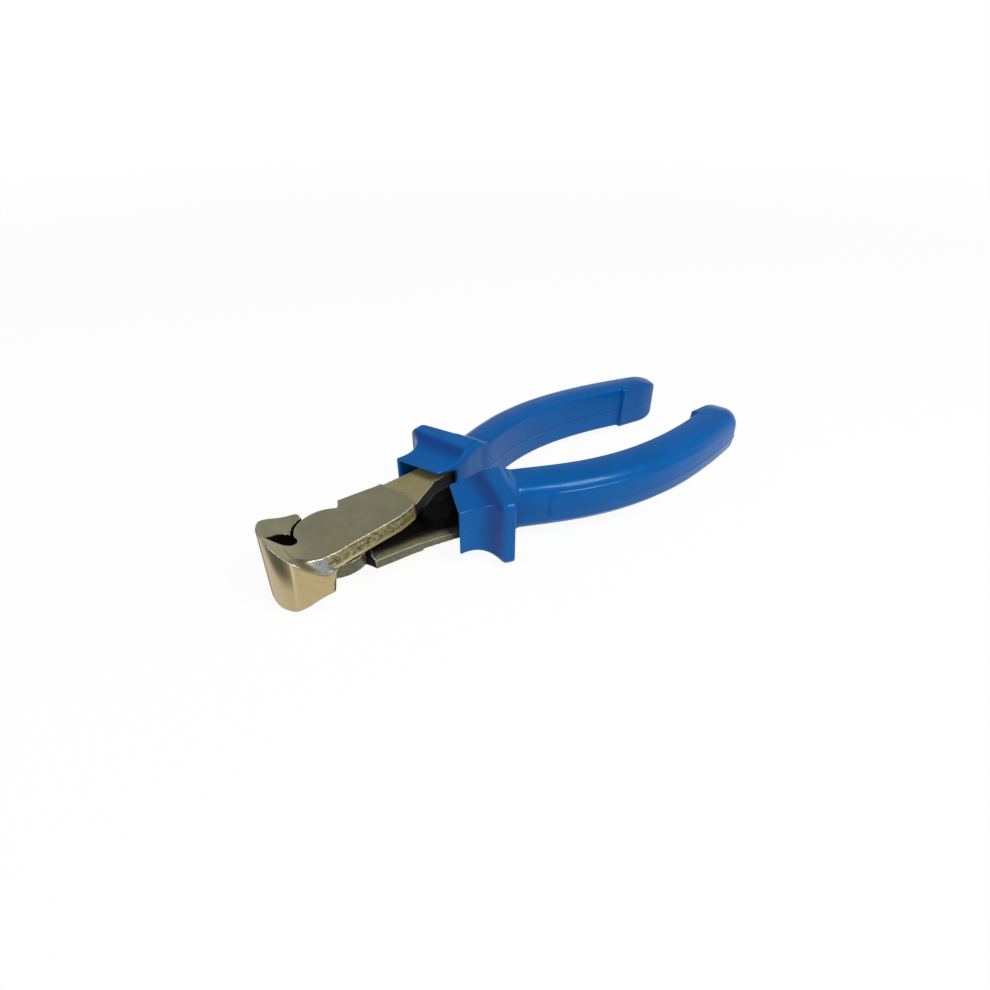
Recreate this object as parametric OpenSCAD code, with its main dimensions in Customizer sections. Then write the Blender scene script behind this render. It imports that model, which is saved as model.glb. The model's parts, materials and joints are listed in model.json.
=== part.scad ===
// Tile nippers: two forged levers lapped on one flush rivet, with moulded grips.
// The tool lies flat with its jaws closed. The jaws point to -X, the grips to +X and
// the pivot stands along Z. The origin is under the middle of the tool's length.
// Everything is drawn about the pivot at mid thickness, and place() then sets it down.

/* [Joint] */
// Thickness of the lapped joint, both levers together
joint_t = 9.9; // [9:0.1:11]
// Radius of the round cheek about the pivot
cheek_r = 10.8; // [10.6:0.1:11]
// Gap between the lapped faces of the two levers
lap_gap = 0.1; // [0.06:0.02:0.2]
// Gap between a cheek and the recess that it turns in
recess_gap = 0.35; // [0.3:0.05:0.5]
// Radius about the pivot where the ground face steps down to the tang
face_r = 25.4; // [24:0.2:27]
// Height of that step
face_step = 0.7; // [0.4:0.1:1]
// Distance of the stop shoulder along the tool
shoulder_x = 7; // [6.5:0.1:7.5]
// Half width of the joint across the shoulders
shoulder_y = 12.4; // [12:0.1:13]

/* [Rivet] */
// Diameter of the rivet's shank
rivet_d = 7; // [5:0.5:8]
// Diameter of its flush countersunk heads
rivet_head_d = 10; // [9:0.5:11]
// Depth of a head
rivet_head_t = 1.5; // [1:0.1:2]
// Radial running clearance in the lever that turns on the rivet
rivet_gap = 0.05; // [0.03:0.01:0.1]

/* [Jaws] */
// Distance from the pivot to the cutting edges
jaw_reach = 19.4; // [19.2:0.1:19.8]
// Half length of a cutting edge, parallel to the pivot
jaw_half_h = 11.6; // [11:0.1:12]
// Gap between the closed edges
edge_gap = 0.1; // [0.06:0.02:0.2]
// Half width across the outer faces of the jaws
jaw_out = 12; // [11.8:0.1:12.2]
// Radius of the rounded corner between a jaw's front and its outer face
jaw_round_r = 8; // [7:0.1:8.5]
// Radius of the hollow ground in front of the cutting edge
hollow_r = 9; // [7:0.5:16]
// Radius of the flare that spreads the jaws from the joint to the edges
flare_r = 18.5; // [17.5:0.1:20]
// Where the flare leaves the flat of the joint
flare_x = -5.2; // [-5.6:0.1:-5.1]
// How much deeper the upper lever's jaw hangs under the joint
near_drop = 1.6; // [0.2:0.1:1.8]
// How much higher the lower lever's jaw stands over the joint
far_rise = 0.2; // [0.1:0.1:1.8]
// Where the jaw block ends behind the cutting edge
jaw_rear_x = -4.5; // [-5:0.1:-4.2]
// Depth of the scoop where the joint's side runs out into the jaw
scoop_depth = 1; // [0.3:0.1:1.2]
// Radius of the round end of the relief hole
relief_r = 3; // [2.6:0.1:3.1]
// Centre of that round end
relief_x = -12.8; // [-13:0.1:-12.6]
// Length of the meeting land at the cutting edge
edge_land = 1.3; // [1:0.1:2]

/* [Handles] */
// Half width of the handle bar inside its grip
bar_half_w = 3.4; // [2.5:0.1:3.8]
// Where the bar ends along the grip, as a share of its centre line
bar_end = 0.88; // [0.7:0.01:0.9]

/* [Grips] */
// Half width of the grip's body
grip_half_w = 5.9; // [5.4:0.1:6.4]
// Half height of the grip's body
grip_half_h = 8; // [7:0.1:8.6]
// Slant of the grip's mouth and finger guard
mouth_tilt = 21.5; // [18:0.1:23]
// Half height of the collar at its mouth
collar_half_h = 7.5; // [7:0.1:8]
// Reach of the collar's mouth to its outer side
collar_out = 10.4; // [10:0.1:12]
// Reach of the collar's mouth to its inner side
collar_in = 6; // [5.8:0.1:6.4]
// Half height of the finger guard
guard_half_h = 10.8; // [9.5:0.1:11.4]
// Reach of the finger guard to its outer side
guard_out = 16.4; // [13:0.1:17]
// How far the thumb lip at the end stands in from the body
lip_rise = 2.3; // [1:0.1:3]

/* [Hidden] */
$fn = 96;

// Half thicknesses, the grip's centre line, how far its end reaches past that line,
// and the middle of the tool's length
half_t = joint_t / 2;
lap = lap_gap / 2;
tang_t = half_t - face_step;
far = 60;
path = [[35, 8.9], [63, 8.5], [74, 38], [148, 17.3]];
end_tip = 0.6;
mid_x = (path[3][0] + end_tip - jaw_reach) / 2;

// Places along the grip, as shares of its centre line
t_bar = 0.055;
t_guard = 0.135;
t_heel = 0.195;
t_neck = 0.225;
t_lip = 0.925;
t_round = 0.965;
guard_in = 5.6;
mouth_wall = 1.4;
mouth_outer_wall = 1.8;
mouth_depth = 6.5;
ring_corner = 5;

// Sets a piece drawn about the pivot down on the floor
module place() {
    translate([-mid_x, 0, jaw_half_h]) children();
}

// Point and heading of the grip's centre line, a cubic curve from mouth to end
function blend(a, b, u) = a + (b - a) * u;
function path_at(t) =
    path[0] * pow(1 - t, 3) + 3 * path[1] * pow(1 - t, 2) * t
    + 3 * path[2] * (1 - t) * t * t + path[3] * pow(t, 3);
function path_step(t) =
    (path[1] - path[0]) * pow(1 - t, 2) + 2 * (path[2] - path[1]) * (1 - t) * t
    + (path[3] - path[2]) * t * t;
function heading(t) =
    t < t_neck ? mouth_tilt : atan2(path_step(t)[1], path_step(t)[0]);
function beside(t, off) =
    path_at(t) + off * [-sin(heading(t)), cos(heading(t))];

// Inner reach, outer reach, half height and corner radius of the grip at t
function sweep_up(t) = pow(t / t_guard, 3);
function past_lip(t) = (t - t_lip) / (1 - t_lip);
function end_drop(t) = t < t_round ? 0 : 1 - sqrt(1 - pow((t - t_round) / (1 - t_round), 2));
function grip_size(t) =
    t <= t_guard ? [
        blend(collar_in, guard_in, sweep_up(t)),
        blend(collar_out, guard_out, sweep_up(t)),
        blend(collar_half_h, guard_half_h, sweep_up(t)),
        blend(1, 2, sweep_up(t))
    ] : t <= t_heel ? [guard_in, guard_out, guard_half_h, 2]
    : t <= t_lip ? [grip_half_w, grip_half_w, grip_half_h, 3]
    : [
        grip_half_w + lip_rise - 3.2 * past_lip(t) - end_drop(t),
        grip_half_w + 0.9 * past_lip(t) - 5 * end_drop(t),
        grip_half_h - 1.5 * end_drop(t),
        3 - end_drop(t)
    ];

// One closed ring of the grip, a rounded rectangle square to the heading
function grip_ring(t) = let (size = grip_size(t)) [
    for (corner = [0:3], i = [0:ring_corner - 1])
        let (
            angle = 90 * corner + 90 * i / (ring_corner - 1),
            side = corner == 0 || corner == 3 ? size[1] - size[3] : size[3] - size[0],
            top = corner < 2 ? size[2] - size[3] : size[3] - size[2],
            p = beside(t, side + size[3] * cos(angle))
        )
        [p[0], p[1], top + size[3] * sin(angle)]
];

// Shares of the centre line where the grip has a ring
grip_stops = concat(
    [for (i = [0:6]) t_guard * i / 6],
    [t_heel, t_neck],
    [for (t = [0.26:0.035:0.9]) t],
    [t_lip, t_lip + 0.004],
    [for (i = [0:5]) t_round + (1 - t_round) * sin(15 * i)],
    [1]
);

// Skin through a list of closed rings, capped at both ends
module skin(rings) {
    n = len(rings[0]);
    last = len(rings) - 1;
    polyhedron(
        points = [for (ring = rings, p = ring) p],
        faces = concat(
            [[for (i = [0:n - 1]) i]],
            [for (k = [0:last - 1], i = [0:n - 1]) let (j = (i + 1) % n)
                each [[k * n + i, (k + 1) * n + i, (k + 1) * n + j],
                      [k * n + i, (k + 1) * n + j, k * n + j]]],
            [[for (i = [n - 1:-1:0]) last * n + i]]
        )
    );
}

// Handle bar along the centre line, full thickness, from inside the collar
module bar() {
    stops = [for (i = [0:20]) blend(t_bar, bar_end, i / 20)];
    translate([0, 0, -tang_t]) linear_extrude(2 * tang_t) polygon(concat(
        [for (t = stops) beside(t, -bar_half_w)],
        [for (i = [20:-1:0]) beside(stops[i], bar_half_w)]
    ));
}

// Plan of the lapped plate and tang. Its near side is one straight line into the jaw.
module plate_plan() {
    near_side = [[jaw_rear_x, -11], [18.5, -6.3]];
    difference() {
        union() {
            circle(cheek_r);
            polygon(concat(near_side, [
                [24, -4], [37, 4.6], beside(t_bar, -bar_half_w), beside(t_bar, bar_half_w),
                [33, 14.6], [28, 13.8], [20, shoulder_y + 0.3], [shoulder_x, shoulder_y],
                0.75 * [shoulder_x, shoulder_y], [0, 0], [jaw_rear_x, -5]
            ]));
        }
        polygon(concat(near_side, [[18.5, -far], [jaw_rear_x, -far]]));
    }
}

// Plan of the near jaw: hollow front, rounded corner and straight outer face
module jaw_plan() {
    edge_y = -edge_gap / 2;
    round_c = [jaw_round_r + 0.2 - jaw_reach, jaw_round_r - jaw_out];
    edge = [-jaw_reach, edge_y];
    ridge = round_c + jaw_round_r * [-cos(12), -sin(12)];
    chord = ridge - edge;
    out = [chord[1], -chord[0]] / norm(chord);
    hollow = (edge + ridge) / 2 + out * sqrt(pow(hollow_r, 2) - pow(norm(chord) / 2, 2));
    difference() {
        intersection() {
            union() {
                translate(round_c) circle(jaw_round_r);
                polygon([edge, ridge, round_c, [round_c[0], edge_y]]);
                translate([round_c[0], -jaw_out]) square([jaw_rear_x - round_c[0], jaw_out]);
            }
            translate([-far, -far]) square([far + jaw_rear_x, far + edge_y]);
        }
        translate(hollow) circle(hollow_r);
    }
}

// Side view of a jaw: flared from the joint's face above, and a little deeper below
module jaw_side(drop) {
    difference() {
        translate([-jaw_reach - 1, -jaw_half_h])
            square([jaw_reach + 1 + jaw_rear_x, 2 * jaw_half_h]);
        translate([flare_x, half_t + flare_r]) circle(flare_r);
        translate([flare_x, half_t]) square(far);
        translate([flare_x, -half_t - drop - flare_r]) circle(flare_r);
    }
}

// Near jaw, cut by the scoop that the joint's side leaves in its outer face
module jaw(drop) {
    scoop_r = 23;
    scoop_at = [flare_x - 0.6, scoop_depth - jaw_out - scoop_r, half_t + 2];
    difference() {
        intersection() {
            translate([0, 0, -far]) linear_extrude(2 * far) jaw_plan();
            rotate([90, 0, 0]) translate([0, 0, -far]) linear_extrude(2 * far) jaw_side(drop);
        }
        translate(scoop_at) sphere(scoop_r);
    }
}

// Teardrop hole between the closed jaws
module relief_hole() {
    tip = edge_land - jaw_reach;
    lean = acos(relief_r / (relief_x - tip));
    touch = relief_r * [-cos(lean), sin(lean)];
    translate([0, 0, -far]) {
        translate([relief_x, 0, 0]) cylinder(r = relief_r, h = 2 * far);
        linear_extrude(2 * far) polygon([
            [tip, 0], [relief_x, 0] + touch, [relief_x, 0] + [touch[0], -touch[1]]
        ]);
    }
}

// Rivet grown by a gap all round its shank and heads, flush with both faces
module rivet_body(gap) {
    head = rivet_head_d / 2 + gap;
    shank = rivet_d / 2 + gap;
    cylinder(r = shank, h = joint_t, center = true);
    for (side = [0, 1]) mirror([0, 0, side])
        translate([0, 0, half_t - rivet_head_t])
            cylinder(r1 = shank, r2 = head, h = rivet_head_t);
}

// The upper lever about the pivot: near jaw, upper half of the joint and far handle.
// The lower lever is the same forging turned over, with a shallower jaw.
module lever(hole_gap, jaw_drop) {
    difference() {
        union() {
            translate([0, 0, lap]) {
                linear_extrude(tang_t - lap) plate_plan();
                intersection() {
                    linear_extrude(half_t - lap) plate_plan();
                    cylinder(r = face_r, h = half_t);
                }
            }
            jaw(jaw_drop);
            bar();
        }
        translate([0, 0, lap - far]) cylinder(r = cheek_r + recess_gap, h = far);
        relief_hole();
        rivet_body(hole_gap);
    }
}

// Collar, finger guard, body and thumb lip, hollow for the handle
module grip() {
    difference() {
        skin([for (t = grip_stops) grip_ring(t)]);
        translate([path[0][0], path[0][1], 0]) rotate([0, 0, mouth_tilt])
            translate([-1, mouth_wall - collar_in, mouth_outer_wall - collar_half_h])
                cube([
                    mouth_depth + 1,
                    collar_in + collar_out - mouth_wall - mouth_outer_wall,
                    2 * (collar_half_h - mouth_outer_wall)
                ]);
        bar();
    }
}

module upper_lever() {
    color("#9a9682") place() lever(rivet_gap, near_drop);
}

module lower_lever() {
    color("#8a8470") place() rotate([180, 0, 0]) lever(0, far_rise);
}

module pivot_rivet() {
    color("#a3a08e") place() rivet_body(0);
}

module far_grip() {
    color("#0a5cab") place() grip();
}

module near_grip() {
    color("#0a5cab") place() mirror([0, 1, 0]) grip();
}

upper_lever();
lower_lever();
pivot_rivet();
far_grip();
near_grip();
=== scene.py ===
# %% [markdown]
# # Tile nippers
# These are hand nippers for trimming tile. Two forged levers lap over each other and turn on
# one flush rivet, their wide jaws meet at a cutting edge, and each handle bar is pushed into a
# glossy moulded grip. The solids are loaded first and stay where they are. This lesson then
# dresses them piece by piece, with every shape worked out as whole numpy arrays.

import json
import math

import bpy
import numpy as np
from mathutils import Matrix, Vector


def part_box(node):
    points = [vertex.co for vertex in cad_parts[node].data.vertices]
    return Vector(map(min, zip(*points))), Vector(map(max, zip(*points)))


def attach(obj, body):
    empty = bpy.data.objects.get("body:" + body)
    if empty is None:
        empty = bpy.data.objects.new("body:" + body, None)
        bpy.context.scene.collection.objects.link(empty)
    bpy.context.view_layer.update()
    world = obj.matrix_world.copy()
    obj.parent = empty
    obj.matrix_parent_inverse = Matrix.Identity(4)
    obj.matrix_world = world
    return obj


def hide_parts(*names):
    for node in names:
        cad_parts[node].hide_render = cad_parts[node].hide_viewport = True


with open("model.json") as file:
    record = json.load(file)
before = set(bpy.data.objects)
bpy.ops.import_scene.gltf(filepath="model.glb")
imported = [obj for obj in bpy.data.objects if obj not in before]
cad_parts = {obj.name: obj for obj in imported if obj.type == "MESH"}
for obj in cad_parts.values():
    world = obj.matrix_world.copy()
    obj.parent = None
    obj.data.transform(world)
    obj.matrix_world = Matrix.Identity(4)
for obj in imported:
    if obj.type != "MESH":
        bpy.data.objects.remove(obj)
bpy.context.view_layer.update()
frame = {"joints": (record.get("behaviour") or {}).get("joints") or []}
MM = 0.001
PIVOT = np.array(frame["joints"][0]["pos_m"])

# %% [markdown]
# ## Where every size comes from
# All shapes below are drawn in millimetres about the pivot, at the joint's mid thickness. That
# is how a toolmaker would dimension the forging.

# %% Main sizes
lever_low, lever_high = (np.array(corner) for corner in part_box("upper_lever"))
rivet_low, rivet_high = (np.array(corner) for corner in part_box("pivot_rivet"))
JAW_REACH = (PIVOT[0] - lever_low[0]) / MM
JAW_HALF_H = (lever_high[2] - lever_low[2]) / MM / 2
JAW_OUT = -lever_low[1] / MM
HALF_T = (rivet_high[2] - rivet_low[2]) / MM / 2
HEAD_R = (rivet_high[0] - rivet_low[0]) / MM / 2
FACE_STEP = 0.7
TANG_T = HALF_T - FACE_STEP
LAP = 0.05
print("jaw reach %.1f, edge %.1f, joint %.1f mm" % (JAW_REACH, 2 * JAW_HALF_H, 2 * HALF_T))

# %% [markdown]
# ## The camera
# The tool was seen from the front left and above, close enough that its far grip looks clearly
# smaller than the near one. A camera can be set by eye or from a few fitted numbers. Here it is
# placed by its azimuth, elevation and distance from the pivot, so those numbers can be read.

# %% Camera
CAMERA_AZIMUTH = math.radians(-35.29)
CAMERA_ELEVATION = math.radians(34.41)
CAMERA_BACK = 178.4
CAMERA_RIGHT = 46.3
CAMERA_UP = 13.6
CAMERA_LENS = 22.65

back = np.array([
    math.sin(CAMERA_AZIMUTH) * math.cos(CAMERA_ELEVATION),
    -math.cos(CAMERA_AZIMUTH) * math.cos(CAMERA_ELEVATION),
    math.sin(CAMERA_ELEVATION),
])
right = np.array([math.cos(CAMERA_AZIMUTH), math.sin(CAMERA_AZIMUTH), 0.0])
up = np.cross(back, right)
camera_data = bpy.data.cameras.new("camera")
camera_data.sensor_width = 36.0
camera_data.lens = CAMERA_LENS
camera_data.clip_start = 0.01
camera = bpy.data.objects.new("camera", camera_data)
camera.location = PIVOT + MM * (CAMERA_BACK * back + CAMERA_RIGHT * right + CAMERA_UP * up)
camera.rotation_euler = (math.pi / 2 - CAMERA_ELEVATION, 0.0, CAMERA_AZIMUTH)
bpy.context.scene.collection.objects.link(camera)
bpy.context.scene.camera = camera
print("camera at", [round(value, 4) for value in camera.location])

# %% [markdown]
# ## Helpers for materials
# A material is a small graph of nodes. It could be drawn by hand in the shader editor, but a
# script can be read and run again. Building a graph takes many lines, so short helpers make a
# node, join two sockets, and add a ramp, some noise, a mix, a bump or a number that is stored
# on the mesh.

# %% Material helpers
def new_material(name):
    """A new node material and its shader."""
    material = bpy.data.materials.new(name)
    material.use_nodes = True
    return material, material.node_tree.nodes["Principled BSDF"]


def add_node(material, kind, **values):
    """A node of this kind, with its plain properties or named inputs set."""
    node = material.node_tree.nodes.new(kind)
    for name, value in values.items():
        if name in node.inputs:
            node.inputs[name].default_value = value
        else:
            setattr(node, name, value)
    return node


def join(material, source, target):
    """A link from an output socket to an input socket."""
    material.node_tree.links.new(source, target)


def feed(material, target, value):
    """An input's value: a socket is linked, and a number or a colour is set."""
    if isinstance(value, bpy.types.NodeSocket):
        join(material, value, target)
    elif isinstance(value, tuple):
        target.default_value = (*value, 1.0)
    else:
        target.default_value = value


def add_ramp(material, source, stops):
    """A ramp on a value, between two stops of a position and a grey level."""
    ramp = add_node(material, "ShaderNodeValToRGB")
    for element, (position, level) in zip(ramp.color_ramp.elements, stops):
        element.position = position
        element.color = (level, level, level, 1.0)
    join(material, source, ramp.inputs["Fac"])
    return ramp.outputs["Color"]


def add_noise(material, scale, detail=4.0, roughness=0.5, stretch=(1.0, 1.0, 1.0)):
    """Noise on the object's own coordinates, scale in cells a metre, squeezed along each axis."""
    place = add_node(material, "ShaderNodeTexCoord")
    mapping = add_node(material, "ShaderNodeMapping", Scale=stretch)
    noise = add_node(material, "ShaderNodeTexNoise", Scale=scale, Detail=detail, Roughness=roughness)
    join(material, place.outputs["Object"], mapping.inputs["Vector"])
    join(material, mapping.outputs["Vector"], noise.inputs["Vector"])
    return noise.outputs["Fac"]


def mix_colour(material, share, first, second):
    """A colour mix of two sockets or colours, by a socket or a number."""
    mix = add_node(material, "ShaderNodeMix", data_type="RGBA")
    for index, value in ((0, share), (6, first), (7, second)):
        feed(material, mix.inputs[index], value)
    return mix.outputs[2]


def mix_value(material, share, first, second):
    """A number between two sockets or numbers, by a socket or a number."""
    mix = add_node(material, "ShaderNodeMix", data_type="FLOAT")
    for index, value in ((0, share), (2, first), (3, second)):
        feed(material, mix.inputs[index], value)
    return mix.outputs[0]


def mottle(material, noise, stops, first, second):
    """Two colours in patches: mixed by a ramp on a noise."""
    return mix_colour(material, add_ramp(material, noise, stops), first, second)


def read_attribute(material, name):
    """The number that a piece holds at each point under this name."""
    node = add_node(material, "ShaderNodeAttribute", attribute_name=name)
    return node.outputs["Fac"]


def add_bump(material, height, distance, strength, under=None):
    """A bump of this height socket, distance in metres, on top of another bump if there is one."""
    bump = add_node(material, "ShaderNodeBump", Distance=distance, Strength=strength)
    join(material, height, bump.inputs["Height"])
    if under is not None:
        join(material, under, bump.inputs["Normal"])
    return bump.outputs["Normal"]


# %% [markdown]
# ## Forged and ground steel
# The levers are drop forgings. Their flats and jaws were ground and then lacquered, which gives
# an olive, satin tone, with fine lines where the belt ran. Sides that were only trimmed stay
# pitted, and the faces inside the joint are blackened. Painted shade darkens the joint, the hole,
# the bar and the jaw's hollow, and a painted highlight and a painted reflection brighten the jaw's
# ridge and its scoop. One material serves both levers: the numbers stored at each point say how it
# was finished and where light and shade are painted, from "forged" to "edge".

# %% Steel material
GROUND_OLIVE = (0.405, 0.415, 0.280)
GROUND_STRAW = (0.525, 0.490, 0.300)
JAW_GOLD = (0.530, 0.420, 0.215)
JAW_DULL = (0.420, 0.335, 0.170)
JAW_SHADE = (0.058, 0.046, 0.007)
# Pale ground steel of the scoop, with a painted reflection
SCOOP_SILVER_SHEEN = (0.300, 0.325, 0.345)
CHEEK_BROWN = (0.062, 0.054, 0.029)
FORGED_GOLD = (0.400, 0.348, 0.148)
FORGED_DARK = (0.045, 0.040, 0.016)
BAND_GOLD = (0.500, 0.420, 0.180)
TANG_TAN = (0.360, 0.300, 0.140)
TANG_OLIVE = (0.265, 0.235, 0.110)
JOINT_BLACK = (0.004, 0.004, 0.004)
JOINT_FLECK = (0.036, 0.031, 0.021)
EDGE_BRIGHT = (0.820, 0.780, 0.640)


def make_steel():
    """Ground steel, with forged, banded, blackened and worn places, and with painted shade and
    highlights, where the piece says so.
    """
    material, shader = new_material("forged_steel")
    cloud = add_noise(material, 160.0, 6.0, 0.65)
    clouds = add_ramp(material, cloud, ((0.32, 0.0), (0.68, 1.0)))
    belt = add_noise(material, 500.0, 5.0, 0.6, stretch=(1.0, 7.0, 1.0))
    brush = add_noise(material, 900.0, 4.0, 0.6, stretch=(5.0, 5.0, 0.4))
    grit = add_noise(material, 1300.0, 6.0, 0.75, stretch=(0.6, 1.0, 1.0))
    jaw = read_attribute(material, "jaw")
    tang = read_attribute(material, "tang")
    forged = read_attribute(material, "forged")
    black = read_attribute(material, "black")

    ground = mix_colour(material, clouds, GROUND_OLIVE, GROUND_STRAW)
    brushed = mottle(material, brush, ((0.3, 0.0), (0.7, 1.0)), JAW_DULL, JAW_GOLD)
    pitted = mottle(material, grit, ((0.38, 0.0), (0.66, 1.0)), FORGED_DARK, FORGED_GOLD)
    # Black for the blackened joint and for the painted shade, with small flecks
    blackened_shade = mottle(material, grit, ((0.60, 0.0), (0.76, 1.0)), JOINT_BLACK, JOINT_FLECK)
    scale = mottle(material, grit, ((0.4, 0.3), (0.62, 1.0)), CHEEK_BROWN, GROUND_OLIVE)
    mottled = mix_colour(material, 0.3, CHEEK_BROWN, scale)
    # The scoop's silver with a painted reflection, stained brown in patches
    scoop_sheen_and_stains = mottle(material, grit, ((0.52, 0.0), (0.68, 0.7)), SCOOP_SILVER_SHEEN, CHEEK_BROWN)
    tanned = mix_colour(material, clouds, TANG_TAN, TANG_OLIVE)
    colour = mix_colour(material, jaw, ground, brushed)
    # Cheek and band are the steel's own tones; shade is painted shade, and the scoop is ground steel
    # with a painted reflection
    for name, finish in (("cheek", mottled), ("shade", JAW_SHADE), ("scoop", scoop_sheen_and_stains),
                         ("band", BAND_GOLD)):
        colour = mix_colour(material, read_attribute(material, name), colour, finish)
    colour = mix_colour(material, tang, colour, tanned)
    colour = mix_colour(material, forged, colour, pitted)
    # Worn bright edges, and a painted highlight along the jaw's ridge
    colour = mix_colour(material, read_attribute(material, "edge"), colour, EDGE_BRIGHT)
    # Blackened joint faces, and painted shade in the hole, on the step and chamfer and on the bar
    colour = mix_colour(material, black, colour, blackened_shade)
    join(material, colour, shader.inputs["Base Color"])

    lines = mix_value(material, jaw, belt, brush)
    satin = add_ramp(material, lines, ((0.3, 0.36), (0.7, 0.46)))
    roughness = mix_value(material, forged, satin, 0.45)
    join(material, mix_value(material, black, roughness, 0.75), shader.inputs["Roughness"])
    scaly = add_node(material, "ShaderNodeMath", operation="MAXIMUM")
    join(material, tang, scaly.inputs[0])
    join(material, read_attribute(material, "coated"), scaly.inputs[1])
    join(material, mix_value(material, scaly.outputs[0], 0.92, 0.25), shader.inputs["Metallic"])
    scratched = add_bump(material, lines, 0.04 * MM, 0.15)
    pits = mix_value(material, forged, 0.5, grit)
    join(material, add_bump(material, pits, 0.20 * MM, 0.4, scratched), shader.inputs["Normal"])
    return material


steel = make_steel()
print("material", steel.name, len(steel.node_tree.nodes), "nodes")

# %% [markdown]
# ## Drawing a forging with distance fields
# A grip can be lofted, but a lever can't: jaw, round cheek, plate and bar branch from one
# another, with a recess and a hole cut through. So the levers are made another way. A distance
# field gives, for any place, how far it is outside the steel (negative inside). Fields are
# joined, cut and rounded with a few formulas, all on whole arrays, and the surface is where the
# field is zero. Fillets and draft then come for free, as they do on a forging die.

# %% Field helpers
def smooth_step(low, high, value):
    """0 below low, 1 above high, and an S curve between them."""
    share = np.clip((value - low) / (high - low), 0.0, 1.0)
    return share * share * (3.0 - 2.0 * share)


def trim(first, second, radius):
    """Where both fields are inside, with the edge between them rounded to this radius."""
    a, b = first + radius, second + radius
    corner = np.hypot(np.maximum(a, 0.0), np.maximum(b, 0.0))
    return corner + np.minimum(np.maximum(a, b), 0.0) - radius


def merge(first, second, width):
    """Where either field is inside, with the crease filled over this width."""
    share = np.clip(0.5 + 0.5 * (second - first) / width, 0.0, 1.0)
    return second + (first - second) * share - width * share * (1.0 - share)


def nearest_side(x, y, start, side):
    """Offsets from the start of every side, the sides, and the distance to the nearest one."""
    pad = (slice(None),) + (None,) * len(np.broadcast_shapes(np.shape(x), np.shape(y)))
    from_x, from_y = x - start[:, 0][pad], y - start[:, 1][pad]
    side_x, side_y = side[:, 0][pad], side[:, 1][pad]
    share = np.clip((from_x * side_x + from_y * side_y) / (side_x ** 2 + side_y ** 2), 0.0, 1.0)
    distance = np.hypot(from_x - share * side_x, from_y - share * side_y).min(axis=0)
    return from_x, from_y, side_x, side_y, distance


def polygon_field(x, y, corners):
    """Signed distance to a closed outline: the nearest side's distance, negative inside."""
    start = np.array(corners, float)
    side = np.roll(start, -1, axis=0) - start
    from_x, from_y, side_x, side_y, distance = nearest_side(x, y, start, side)
    spans = (from_y < 0.0) != (from_y - side_y < 0.0)
    rise = np.where(side_y == 0.0, 1.0, side_y)
    inside = (spans & (from_x < from_y / rise * side_x)).sum(axis=0) % 2 == 1
    return np.where(inside, -distance, distance)


def path_field(x, y, points, half_width):
    """Distance to an open line of points, less half a width."""
    return nearest_side(x, y, points[:-1], np.diff(points, axis=0))[-1] - half_width


print("a square corner rounded to 1 mm is cut back by %.2f mm" % trim(0.0, 0.0, 1.0))

# %% [markdown]
# ## The handle's line
# Bar and grip share one centre line, an S that leaves the joint, bows out to fill the palm and
# turns in again at the end. It could be traced with many points, but a cubic curve with four
# control points is smoother. The near handle bows out a little more than the far one.

# %% Centre line of a handle
FAR_HANDLE = np.array([[35.0, 8.9], [63.0, 8.7], [71.5, 39.4], [146.3, 16.4]])
NEAR_HANDLE = np.array([[35.0, 8.9], [63.0, 7.8], [75.6, 40.3], [150.9, 18.4]])
MOUTH_TILT = math.radians(21.5)
BAR_HALF_W = 3.4
BAR_FROM, BAR_TO = 0.05, 0.88
BAR_START = np.array([[29.5, 7.9]])


def handle_point(handle, share):
    """Point on the cubic curve: the control points weighted by the four terms of ((1 - t) + t) cubed."""
    t = np.asarray(share, float)[..., None]
    weights = ((1 - t) ** 3, 3 * t * (1 - t) ** 2, 3 * t ** 2 * (1 - t), t ** 3)
    return sum(weight * point for weight, point in zip(weights, handle))


def bar_line(handle):
    """Points along the bar, from inside the tang to its end in the grip."""
    return np.concatenate([BAR_START, handle_point(handle, np.linspace(BAR_FROM, BAR_TO, 40))])


print("handles end at", FAR_HANDLE[-1], "and", NEAR_HANDLE[-1])

# %% [markdown]
# ## A lever seen from above
# Each lever is one forging: jaw, half of the lapped joint, tang and bar. The real one is
# hammered in a die, so its sides lean by a few degrees to a parting line, its blends are soft,
# and only the flats and the jaw are ground afterwards. The drawing starts with its plan, a round
# cheek about the rivet and an outline that runs back to the tang.

# %% Plan of a lever
CHEEK_R = 10.8
SHOULDER = np.array([7.0, 12.4])
JAW_REAR = -4.2
SIDE_LINE = np.array([[JAW_REAR, -11.4], [18.5, -6.7]])
PLATE = [
    *SIDE_LINE, (24.2, -4.3), (37.0, 4.4), (38.0, 6.0), (42.0, 11.0), (39.0, 15.5), (28.0, 13.8),
    (20.0, 12.7), SHOULDER, 0.75 * SHOULDER, (0.0, 0.0), (JAW_REAR, -5.0),
]
TANG_MIDDLE, TANG_CLIMB = (12.0, 4.0), 0.22


def beyond(x, y, line):
    """Distance past a line through two points, to the right of its direction."""
    along = (line[1] - line[0]) / np.linalg.norm(line[1] - line[0])
    return (x - line[0][0]) * along[1] - (y - line[0][1]) * along[0]


def plate_outline(x, y):
    """Plan of the cheek and tang: a disc joined to an outline, trimmed straight at the near side."""
    disc = np.hypot(x, y) - CHEEK_R
    cheek = np.where(x > JAW_REAR, np.maximum(disc, beyond(x, y, SIDE_LINE)), disc)
    return np.minimum(cheek, polygon_field(x, y, PLATE))


def outer_half(x, y):
    """1 on the half of the tang that faces away from the other handle, 0 on the other half."""
    across = y - TANG_MIDDLE[1] - TANG_CLIMB * (x - TANG_MIDDLE[0])
    return smooth_step(-1.0, 1.0, across) * smooth_step(6.4, 7.6, x)


print("cheek", CHEEK_R, "mm in radius, tang back to", max(corner[0] for corner in PLATE), "mm")

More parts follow.
